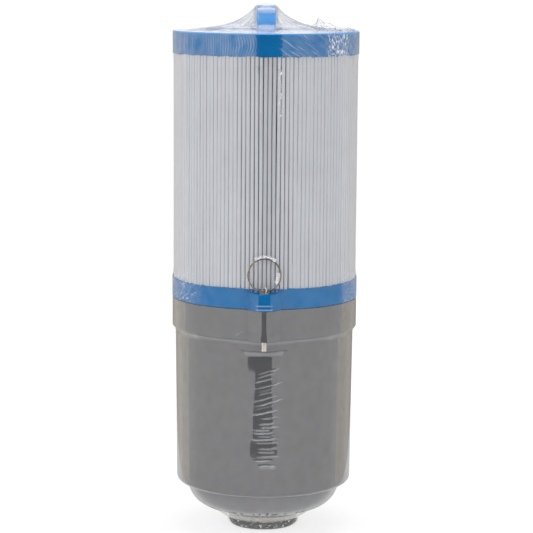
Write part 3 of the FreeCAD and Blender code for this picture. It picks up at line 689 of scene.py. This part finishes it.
def canister_haze_and_painted_light(angle, across, height, low):
    """How hazy the canister's film is beside the front's creases: low on the bowl, in the slack film under
    the lug, at the sides, along the shell's lower edge and under the collar. This is partly haze and partly
    painted light: the lift over the bowl is a painted reflection of the floor, and the pale lines along the
    shell's lower edge and just under the collar are painted highlights."""
    haze = 0.5 * low * max(0.0, ripple(angle * 40, height / MM / 12, 5.0, 1.0))
    slack = smooth_step(height, TENT_LOW, TENT_LOW + 0.4 * MM)
    slack *= smooth_step(height, PIN_LOW, PIN_LOW - 1.5 * MM)
    haze += 0.22 * slack * smooth_step(abs(across), 14 * MM, 12 * MM)
    side = smooth_step(abs(angle), 1.15, 1.5)
    haze += 0.35 * side * max(0.0, ripple(across, height * 0.3, 8.0, 2.2 * MM))
    # Painted highlight: a pale line along the shell's rounded lower edge.
    haze += 0.35 * line_crease(height - SHELL_LOW - 0.6 * MM, 0.7 * MM)
    # Painted reflection of the floor: the film over the bowl is made milkier.
    haze += 0.16 * smooth_step(height, SHELL_LOW - 1 * MM, SHELL_LOW - 2 * MM)
    # Painted highlight: a pale line just under the collar.
    return haze + 0.25 * line_crease(height - COLLAR_LOW + 1 * MM, 0.8 * MM)


def make_canister_film():
    """Film over the bowl, the shell and the collar, stretched over the lug and creased at the front."""
    profile, tent, creases = canister_profile(), tent_keys(), front_creases()

    def section(height):
        base, = along(profile, height)
        depth, half, root, edge = along(tent, height)
        over_ridge = height > tent[0][0] and depth > base
        plan = ridge_plan(base, depth, half, root, edge) if over_ridge else []
        near = [c for c in creases if abs(c[0] - height) < 6 * MM]
        low = smooth_step(height, BOWL_LOW + 12 * MM, BOWL_LOW)

        def film_at(angle):
            across = angle * base
            lift, crease = crease_relief(near, across, height)
            lift += 0.25 * MM * low * ripple(angle * 22, height / MM / 9, 3.0, 1.0)
            fleck = math.hypot(across - FLECK.x, (height - FLECK.y) * 1.6)
            lift += 0.55 * MM * line_crease(fleck, 1.3 * MM)
            return reach(plan, base, angle) + lift, crease + canister_haze_and_painted_light(angle, across, height, low)
        return film_at

    heights = rows_between(FILM_LOW, SHELL_LOW - 1 * MM, 1.1 * MM)
    heights += rows_between(SHELL_LOW - 1 * MM, SHELL_LOW + SHELL_EDGE, 0.5 * MM)
    heights += rows_between(SHELL_LOW + SHELL_EDGE, CREASES_LOW, 2.5 * MM)
    heights += rows_between(CREASES_LOW, TENT_LOW - 1 * MM, 0.42 * MM)
    heights += rows_between(TENT_LOW - 1 * MM, COLLAR_LOW + 7 * MM, 0.4 * MM)
    heights += rows_between(COLLAR_LOW + 7 * MM, COLLAR_HIGH - 0.2 * MM, 1.6 * MM)
    heights.append(COLLAR_HIGH - 0.2 * MM)
    angles = fine_angles(math.radians(0.42), math.radians(30), math.radians(1.8))
    film_piece("film_canister", heights, angles, section, "canister", FILM_CANISTER,
               ["shrink_film_lower"])


def make_skirt():
    """The film's gathered lower end: a cone from the bowl to the outlet, crumpled round the thread."""
    profile = [
        (0.5 * MM, OUTLET_RADIUS + 0.25 * MM),
        (BOWL_LOW - 8.4 * MM, OUTLET_RADIUS + 0.4 * MM),
        (BOWL_LOW - 7.8 * MM, OUTLET_RADIUS + 2.2 * MM),
        (BOWL_LOW - 6.2 * MM, OUTLET_RADIUS + 5.0 * MM),
        (BOWL_LOW - 2.1 * MM, OUTLET_RADIUS + 10.8 * MM),
        (FILM_LOW, BOWL_RADIUS - 10.75 * MM),
    ]
    slack = [(0, 0.25 * MM), (3 * MM, 0.5 * MM), (5 * MM, 0.5 * MM), (6.5 * MM, 0.15 * MM), (FILM_LOW, 0.0)]
    # How milky the film is, by height: the high share on the cone is partly the haze of gathered film,
    # partly painted reflection of the floor.
    haze_and_painted_reflection = [(0, 0.12), (BOWL_LOW - 8.4 * MM, 0.16), (BOWL_LOW - 7.6 * MM, 0.95), (FILM_LOW, 0.75)]

    def section(height):
        base, = along(profile, height)
        room, = along(slack, height)
        share, = along(haze_and_painted_reflection, height)

        def film_at(angle):
            across = angle * OUTLET_RADIUS
            fold = ripple(across, height * 1.2, 12.0, 1.7 * MM)
            fold += 0.6 * ripple(across, height * 1.5, 15.0, 0.9 * MM)
            sparkle = 1.3 * smooth_step(fold, 0.22, 0.6) * smooth_step(height, 7 * MM, 5 * MM)
            return base + room * (0.45 + fold), share * (1.0 + 0.4 * fold) + sparkle
        return film_at

    heights = rows_between(0.5 * MM, BOWL_LOW - 7.2 * MM, 0.4 * MM)
    heights += rows_between(BOWL_LOW - 7.2 * MM, FILM_LOW, 0.6 * MM) + [FILM_LOW]
    angles = [TURN * i / 420 for i in range(420)]
    film_piece("film_skirt", heights, angles, section, "canister", FILM_SKIRT)


make_canister_film()
make_skirt()


def make_lower_cap_film():
    """Film over the lower end cap and its lug, with swirled creases towards the left."""
    out = LUG_REACH + FILM_OFF
    lug_top = LOWER_CAP_HIGH - LUG_STEP
    profile = [
        (LOWER_CAP_LOW, LOWER_CAP_RADIUS + FILM_OFF),
        (LOWER_CAP_HIGH + 0.3 * MM, LOWER_CAP_RADIUS + FILM_OFF),
        (LOWER_CAP_HIGH + 7 * MM, PLEAT_RADIUS + FILM_OFF),
    ]
    ridge = [
        (LOWER_CAP_LOW, out, LUG_FACE),
        (lug_top - 0.4 * MM, out, LUG_FACE),
        (lug_top + 0.1 * MM, LOWER_CAP_RADIUS, LUG_FACE),
    ]

    def section(height):
        base, = along(profile, height)
        depth, half = along(ridge, height)
        over_lug = height < ridge[-1][0] and depth > base
        plan = ridge_plan(base, depth, half, LUG_FOOT, 0.3 * MM) if over_lug else []

        def film_at(angle):
            across = angle * base
            left = smooth_step(across, -40 * MM, -61 * MM)
            right = smooth_step(across, 58 * MM, 66 * MM)
            swirl = ripple(across, height, 5.0, 6 * MM) * 7 * MM
            streak = ripple(across + swirl, height * 2 + swirl, 6.0, 2.4 * MM)
            crease = (0.01 + 0.6 * max(left, right)) * max(0.0, streak) * 1.6 + 0.10 * max(left, right)
            # Painted highlights: two pale lines across the lug's front, along its lower lip.
            if abs(across) < 5 * MM:
                crease += 0.55 * line_crease(height - LOWER_CAP_LOW - 3.6 * MM, 0.35 * MM)
                crease += 0.55 * line_crease(height - LOWER_CAP_LOW - 1.0 * MM, 0.4 * MM)
            return reach(plan, base, angle) + 0.05 * MM * streak * left, crease
        return film_at

    heights = rows_between(LOWER_CAP_LOW + 0.3 * MM, LOWER_CAP_HIGH + 7 * MM, 0.5 * MM)
    angles = fine_angles(math.radians(0.42), math.pi, math.radians(0.42))
    film_piece("film_lower_cap", heights, angles, section, "cartridge", FILM_LOWER_CAP,
               ["shrink_film_upper"])


def make_pleat_film():
    """Film over the pleats, crinkled in a narrow strip near the front, under the top cap."""
    strip_low = TOP_CAP_LOW - 44 * MM

    def section(height):
        base = PLEAT_RADIUS + FILM_OFF
        in_strip = smooth_step(height, strip_low, strip_low + 4 * MM)

        def film_at(angle):
            across = angle * base
            strip = in_strip * line_crease(across - 9.5 * MM, 1.5 * MM)
            crinkle = max(0.0, ripple(across, height * 0.7, 14.0, 1.6 * MM)) * 2.2
            return base + 0.03 * MM * ripple(across, height * 0.12, 2.0, 3.2 * MM), strip * crinkle
        return film_at

    heights = rows_between(LOWER_CAP_HIGH + 6.5 * MM, strip_low, 5 * MM)
    heights += rows_between(strip_low, TOP_CAP_LOW - 6.5 * MM, 1 * MM) + [TOP_CAP_LOW - 6.5 * MM]
    angles = fine_angles(math.radians(0.6), math.radians(16), math.radians(1.4))
    film_piece("film_pleats", heights, angles, section, "cartridge", FILM_PLEATS)


def top_crease(across, height):
    """Creases over the top cap: upright on the left, bowed near the middle, slanting on the right and
    crinkled at the far right. Lengths in metres from the front's middle and the cap's lower side."""
    middle = (height - 7 * MM) / (7 * MM)
    bowed = across - 2.2 * MM * (1 - middle * middle) * smooth_step(across, -30 * MM, -10 * MM)
    warp = 0.6 * MM * ripple(across, height * 0.2, 1.0, 6 * MM)
    fine = (0.5 + 0.5 * math.sin(TURN * (bowed + warp) / (1.75 * MM))) ** 2
    patch = smooth_step(ripple(bowed, height * 0.4, 4.0, 5 * MM), -0.7, 0.2)
    left = smooth_step(across, -4 * MM, -9 * MM)
    crease = 0.30 * left * patch * fine
    slant = 0.532 * across + 0.849 * height + 0.5 * MM * ripple(across, height, 6.0, 7 * MM)
    slanted = (0.5 + 0.5 * math.sin(TURN * slant / (1.6 * MM))) ** 3
    slanted *= smooth_step(ripple(slant * 2, across * 0.3, 7.0, 3 * MM), -0.2, 0.5)
    right = smooth_step(across, 7 * MM, 12 * MM) * (1 - 0.6 * smooth_step(across, 33 * MM, 42 * MM))
    crease += 0.52 * right * slanted
    crinkle = max(0.0, ripple(across + 0.3 * height, height * 0.35, 9.0, 1.2 * MM)) * 2.0
    crinkle += max(0.0, ripple(across - 0.4 * height, height * 0.5, 11.0, 0.8 * MM)) * 1.4
    far = smooth_step(across, 41 * MM, 47 * MM) * (1 - 0.7 * smooth_step(across, 62 * MM, 68 * MM))
    return crease + 0.8 * far * crinkle


def make_top_cap_film():
    """Film over the top cap's side, from the pleats up to the rim."""
    highest = TOP_CAP_HIGH - 0.7 * MM
    profile = [
        (TOP_CAP_LOW - 7 * MM, PLEAT_RADIUS + FILM_OFF),
        (TOP_CAP_LOW - 0.8 * MM, CAP_RADIUS + FILM_OFF),
        (TOP_CAP_HIGH, CAP_RADIUS + FILM_OFF),
    ]

    def section(height):
        base, = along(profile, height)
        up = height - TOP_CAP_LOW
        on_cap = smooth_step(up, -1.5 * MM, 0.0)

        def film_at(angle):
            crease = top_crease(angle * base, up) * on_cap
            return base + 0.12 * MM * crease, crease
        return film_at

    heights = rows_between(TOP_CAP_LOW - 7 * MM, highest, 0.55 * MM) + [highest]
    angles = [-math.pi + TURN * i / 1100 for i in range(1100)]
    film_piece("film_top_cap", heights, angles, section, "cartridge", FILM_TOP_CAP)


make_lower_cap_film()
make_pleat_film()
make_top_cap_film()


# --- film tent over the handle ---

TENT_SAG = 4.1                  # how quickly the film falls away from the handle
HANDLE_HALF_X = HANDLE_HIGH.x + 0.15 * MM
HANDLE_HALF_Y = HANDLE_HIGH.y + 0.15 * MM
HANDLE_BEND = 12 * MM


def handle_top(y):
    """Height of the film on the handle's outer face, which bends down to the cap at both ends."""
    past = max(0.0, abs(y) - (HANDLE_HALF_Y - HANDLE_BEND))
    drop = HANDLE_BEND - math.sqrt(max(0.0, HANDLE_BEND ** 2 - past ** 2))
    return HANDLE_HIGH.z + 0.1 * MM - 0.42 * drop


def handle_edge(angle):
    """Where a ray from the axis leaves the handle's outline, seen from above."""
    sight = around(angle, 1.0, 0.0)
    scale = min(HANDLE_HALF_X / max(abs(sight.x), 1e-9), HANDLE_HALF_Y / max(abs(sight.y), 1e-9))
    return sight * scale


def tent_lift(place, spread, share, top):
    """The tent's height above the cap's rim, and its crease, at a share of the way from the handle."""
    fall = (math.exp(-TENT_SAG * share) - math.exp(-TENT_SAG)) / (1 - math.exp(-TENT_SAG))
    fold = ripple(math.cos(spread) * 60, math.sin(spread) * 60, 5.0, 11.0)
    sharp = (1 - abs(fold)) ** 6
    swell = math.sin(math.pi * min(1.0, share * 1.05)) if 0 < share < 0.95 else 0.0
    lift = top * fall + swell * (0.9 * MM * sharp + 0.5 * MM * ripple(place.x, place.y, 7.0, 8 * MM))
    crinkle = max(0.0, ripple(place.x, place.y, 17.0, 3 * MM))
    crease = 0.22 * sharp * (1 - share) ** 2 * smooth_step(abs(spread), 0.2, 0.5)
    crease += 0.42 * smooth_step(share, 0.008, 0.0) + 0.45 * smooth_step(share, 0.5, 0.9)
    band = smooth_step(lift, 5.4 * MM, 4.6 * MM) * smooth_step(abs(place.x), 44 * MM, 20 * MM)
    crease += 0.50 * band * smooth_step(place.y, 0.0, -8 * MM)
    haze_and_painted_reflection = math.exp(-((math.degrees(spread) - 72) / 26) ** 2) * smooth_step(share, 0.35, 0.8)
    lift += 3.2 * MM * haze_and_painted_reflection * max(0.0, ripple(place.x, place.y, 27.0, 4 * MM))
    return max(0.05 * MM, lift), crease + 0.9 * haze_and_painted_reflection * crinkle


def make_tent():
    """Film drawn from the handle down to the cap's rim: it hangs in a hollow curve, with folds that run
    out from the handle."""
    columns, rows = 320, 44
    rim_z = TOP_CAP_HIGH + 0.1 * MM
    points, creases = [], []
    for row in range(rows + 1):
        share = (row / rows) ** 1.4
        for column in range(columns):
            spread = -math.pi + TURN * column / columns
            # columns gather along the handle's long sides, where the fall is steep
            start = handle_edge(spread + 0.35 * math.sin(2 * spread))
            place = start.lerp(around(spread, CAP_RADIUS - 0.5 * MM, 0.0), share)
            lift, crease = tent_lift(place, spread, share, handle_top(start.y) - rim_z)
            points.append(Vector((place.x, place.y, rim_z + lift)))
            creases.append(crease)
    for turn in (0.55, 1.18, math.pi / 2):
        for column in range(columns):
            radius = CAP_RADIUS - 0.5 * MM + (0.5 * MM + FILM_OFF) * math.sin(turn)
            spread = -math.pi + TURN * column / columns
            points.append(around(spread, radius, rim_z - 0.8 * MM * (1 - math.cos(turn))))
            creases.append(0.0)
    tent = make_piece("film_tent", points, grid(rows + 4, columns), "cartridge", FILM_TENT)
    keep_creases(tent, creases)
    close_over_handle(tent, columns)


def close_over_handle(tent, columns):
    """Fills the tent's inner outline with film that lies on the handle."""
    shape = bmesh.new()
    shape.from_mesh(tent.data)
    shape.verts.ensure_lookup_table()
    inner = set(shape.verts[:columns])
    edges = [e for e in shape.edges if e.is_boundary and e.verts[0] in inner and e.verts[1] in inner]
    filled = bmesh.ops.triangle_fill(shape, edges=edges, use_beauty=True, normal=(0, 0, 1))
    for face in (part for part in filled["geom"] if isinstance(part, bmesh.types.BMFace)):
        face.smooth = True
    shape.to_mesh(tent.data)
    shape.free()


make_tent()


def crumpled(name, place_at, columns, rows, body, material, seed, proud):
    """A crumpled scrap of film. place_at(u, v) gives a point and the direction it crumples in."""
    points, creases = [], []
    for row in range(rows):
        for column in range(columns):
            u, v = column / (columns - 1), row / (rows - 1)
            point, out = place_at(u, v)
            fold = ripple(u, v, seed, 0.11) + 0.6 * ripple(u, v, seed + 3, 0.05)
            points.append(point + out * proud * fold)
            creases.append(max(0.0, 0.22 + 1.4 * fold))
    faces = grid(rows, columns, closed_columns=False)
    keep_creases(make_piece(name, points, faces, body, material), creases)


def make_knot():
    """The gathered end of the film, which stands up from the cap's right side."""
    foot = around(math.radians(68), 44 * MM, TOP_CAP_HIGH + 0.6 * MM)
    # (place along the knot, how high its crest stands, how wide it is)
    crests = ((0.36, 5.5 * MM, 0.05), (0.42, 5.0 * MM, 0.22), (0.12, 3.0 * MM, 0.10),
              (0.78, 1.6 * MM, 0.18))

    def place_at(u, v):
        across = (u - 0.5) * 36 * MM
        peak = sum(rise * math.exp(-((u - middle) / width) ** 2) for middle, rise, width in crests)
        return foot + Vector((across, -across * 0.5, v * (peak + 1.0 * MM))), Vector((0.5, 0.9, 0.25))

    crumpled("film_knot", place_at, 72, 18, "cartridge", FILM_KNOT, 21.0, 2.6 * MM)


def make_ring_scraps():
    """Scraps of film that cling along the top of the ring and inside its right side."""

    def over_top(u, v):
        turn = math.radians(-32 + 70 * u)
        return on_ring(turn, RING_RADIUS + (0.1 + 2.2 * v) * MM, 0.35 * MM), RING_OUT

    def inside(u, v):
        turn = math.radians(80 + 46 * u)
        return on_ring(turn, RING_RADIUS - (0.4 + 2.6 * v) * MM, 0.2 * MM), RING_OUT

    crumpled("film_on_ring_top", over_top, 60, 9, "ring", FILM_SCRAP, 31.0, 0.5 * MM)
    crumpled("film_in_ring_side", inside, 36, 9, "ring", FILM_SCRAP, 41.0, 0.5 * MM)


make_knot()
make_ring_scraps()


# --- floor, light and camera ---

CARD_FRONT = -0.27
# The dark card's outline, upwards: (height, left edge, right edge).
CARD_SIDES = (
    (0.003, -0.075, 0.076), (0.012, -0.075, 0.076), (0.018, -0.060, 0.052), (0.040, -0.057, 0.048),
    (0.060, -0.047, 0.043), (0.071, -0.047, 0.043), (0.072, -0.090, 0.043), (0.090, -0.090, 0.043),
    (0.092, -0.070, 0.060), (0.125, -0.070, 0.060), (0.160, -0.020, 0.055), (0.300, -0.020, 0.060),
    (0.310, -0.049, 0.085), (0.380, -0.049, 0.085))
# The side panels: (name, place along X, edge towards the front, brightness).
PANELS = (("panel_left", -0.16, 0.020, 1.36), ("panel_right", 0.16, 0.009, 1.16))
PANEL_BACK = 1.2
PANEL_LOW, PANEL_HIGH = 0.001, 0.8
LOOK_AT = Vector((0, 0, 0.2))       # what the lamps point at


def flat_material(name, brightness, glow):
    """A plain, nearly even surface that shines a little by itself."""
    s = Shader(name)
    shade = s.noise(s.place(), 3.0, 3.0)
    colour = s.blend(shade, (brightness * 0.985,) * 3, (brightness,) * 3)
    return s.finish(s.add("BsdfPrincipled", {
        "Base Color": colour, "Roughness": 1.0, "Specular IOR Level": 0.0,
        "Emission Color": (1.0, 1.0, 1.0, 1.0), "Emission Strength": glow}))


def make_floor():
    """A pale floor that runs out of sight."""
    bpy.ops.mesh.primitive_plane_add(size=80)
    floor = bpy.context.object
    floor.name = "floor"
    floor.data.materials.append(flat_material("floor_pale", 0.30, 0.72))


def mirrored_only(piece):
    """Leaves a stage piece visible in reflections alone."""
    for kind in ("camera", "diffuse", "transmission", "shadow", "volume_scatter"):
        setattr(piece, "visible_" + kind, False)


def make_stage_mesh(name, points, faces, material):
    """A stage piece that only reflections show."""
    mesh = bpy.data.meshes.new(name)
    mesh.from_pydata(points, [], faces)
    mesh.materials.append(material)
    piece = bpy.data.objects.new(name, mesh)
    bpy.context.scene.collection.objects.link(piece)
    mirrored_only(piece)


def make_dark_card():
    """A dark panel in front of the object, which puts the dark stripe in the film."""
    points = [(x, CARD_FRONT, height) for height, *edges in CARD_SIDES for x in edges]
    faces = [(2 * i, 2 * i + 1, 2 * i + 3, 2 * i + 2) for i in range(len(CARD_SIDES) - 1)]
    make_stage_mesh("dark_card", points, faces, flat_material("card_black", 0.004, 0.0))


def warm_glow(name, brightness):
    """Light that grows dimmer towards the back."""
    s = Shader(name)
    place = s.place()
    behind = s.add("SeparateXYZ", {"Vector": place}, output=1)
    fall = s.count("POWER", s.count("MULTIPLY_ADD", behind, 27.7, 0.443), -0.4)
    colour = s.blend(s.noise(place, 3.0), (1.07, 0.99, 0.89), (1.10, 1.02, 0.92))
    return s.finish(s.add("Emission", {"Color": colour, "Strength": s.count("MULTIPLY", fall, brightness)}))


def make_side_panels():
    """Two warm panels behind and beside the object, which put the paler bands in the film's sides."""
    for name, x, near, brightness in PANELS:
        points = [(x, near, PANEL_LOW), (x, PANEL_BACK, PANEL_LOW), (x, PANEL_BACK, PANEL_HIGH),
                  (x, near, PANEL_HIGH)]
        make_stage_mesh(name, points, [(0, 1, 2, 3)], warm_glow(name + "_glow", brightness))


def make_world():
    """Even white studio light, slightly warm from behind the object and slightly cool from the front."""
    world = bpy.data.worlds.new("studio")
    world.use_nodes = True
    tree = world.node_tree
    tree.nodes.clear()
    place = tree.nodes.new("ShaderNodeTexCoord")
    parts = tree.nodes.new("ShaderNodeSeparateXYZ")
    span = tree.nodes.new("ShaderNodeMapRange")
    mix = tree.nodes.new("ShaderNodeMix")
    light = tree.nodes.new("ShaderNodeBackground")
    out = tree.nodes.new("ShaderNodeOutputWorld")
    mix.data_type = "RGBA"
    mix.inputs[6].default_value = (0.97, 0.985, 1.02, 1.0)
    mix.inputs[7].default_value = (1.03, 1.0, 0.96, 1.0)
    span.inputs["From Min"].default_value = 0.1
    span.inputs["From Max"].default_value = 0.45
    light.inputs["Strength"].default_value = 1.05
    tree.links.new(place.outputs["Generated"], parts.inputs[0])
    tree.links.new(parts.outputs["Y"], span.inputs["Value"])
    tree.links.new(span.outputs[0], mix.inputs[0])
    tree.links.new(mix.outputs[2], light.inputs["Color"])
    tree.links.new(light.outputs[0], out.inputs["Surface"])
    bpy.context.scene.world = world


def make_soft_light(name, place, size, power):
    data = bpy.data.lights.new(name, "AREA")
    data.shape = "DISK"
    data.size = size
    data.energy = power
    lamp = bpy.data.objects.new(name, data)
    lamp.location = place
    aim = LOOK_AT - Vector(place)
    lamp.rotation_mode = "QUATERNION"
    lamp.rotation_quaternion = aim.to_track_quat("-Z", "Y")
    lamp.visible_camera = False
    bpy.context.scene.collection.objects.link(lamp)


def make_camera():
    """A long lens a little above the top cap, tilted down, with a slight roll and a turn to the right."""
    tilt, roll, aside = math.radians(8.36), math.radians(0.391), math.tan(math.radians(0.0539))
    data = bpy.data.cameras.new("camera")
    data.lens = 138.6
    data.sensor_width = 36.0
    camera = bpy.data.objects.new("camera", data)
    bpy.context.scene.collection.objects.link(camera)
    camera.location = (0.0, -1.400, TOP_CAP_HIGH + 44.08 * MM)
    forward = Vector((0, math.cos(tilt), -math.sin(tilt)))
    level = Vector((0, math.sin(tilt), math.cos(tilt)))
    right = Vector((1, 0, 0)) * math.cos(roll) + level * math.sin(roll)
    forward = (forward + right * aside).normalized()
    up = right.cross(forward).normalized()
    right = forward.cross(up)
    camera.rotation_mode = "QUATERNION"
    rows = [(right[i], up[i], -forward[i]) for i in range(3)]
    camera.rotation_quaternion = Matrix(rows).to_quaternion()
    bpy.context.scene.camera = camera


make_floor()
make_dark_card()
make_side_panels()
make_world()
make_soft_light("left_light", (-1.6, -1.5, 1.7), 1.4, 9.0)
make_soft_light("top_light", (0.3, 0.2, 2.4), 1.8, 9.0)
make_camera()
bpy.context.scene.view_settings.view_transform = "Standard"
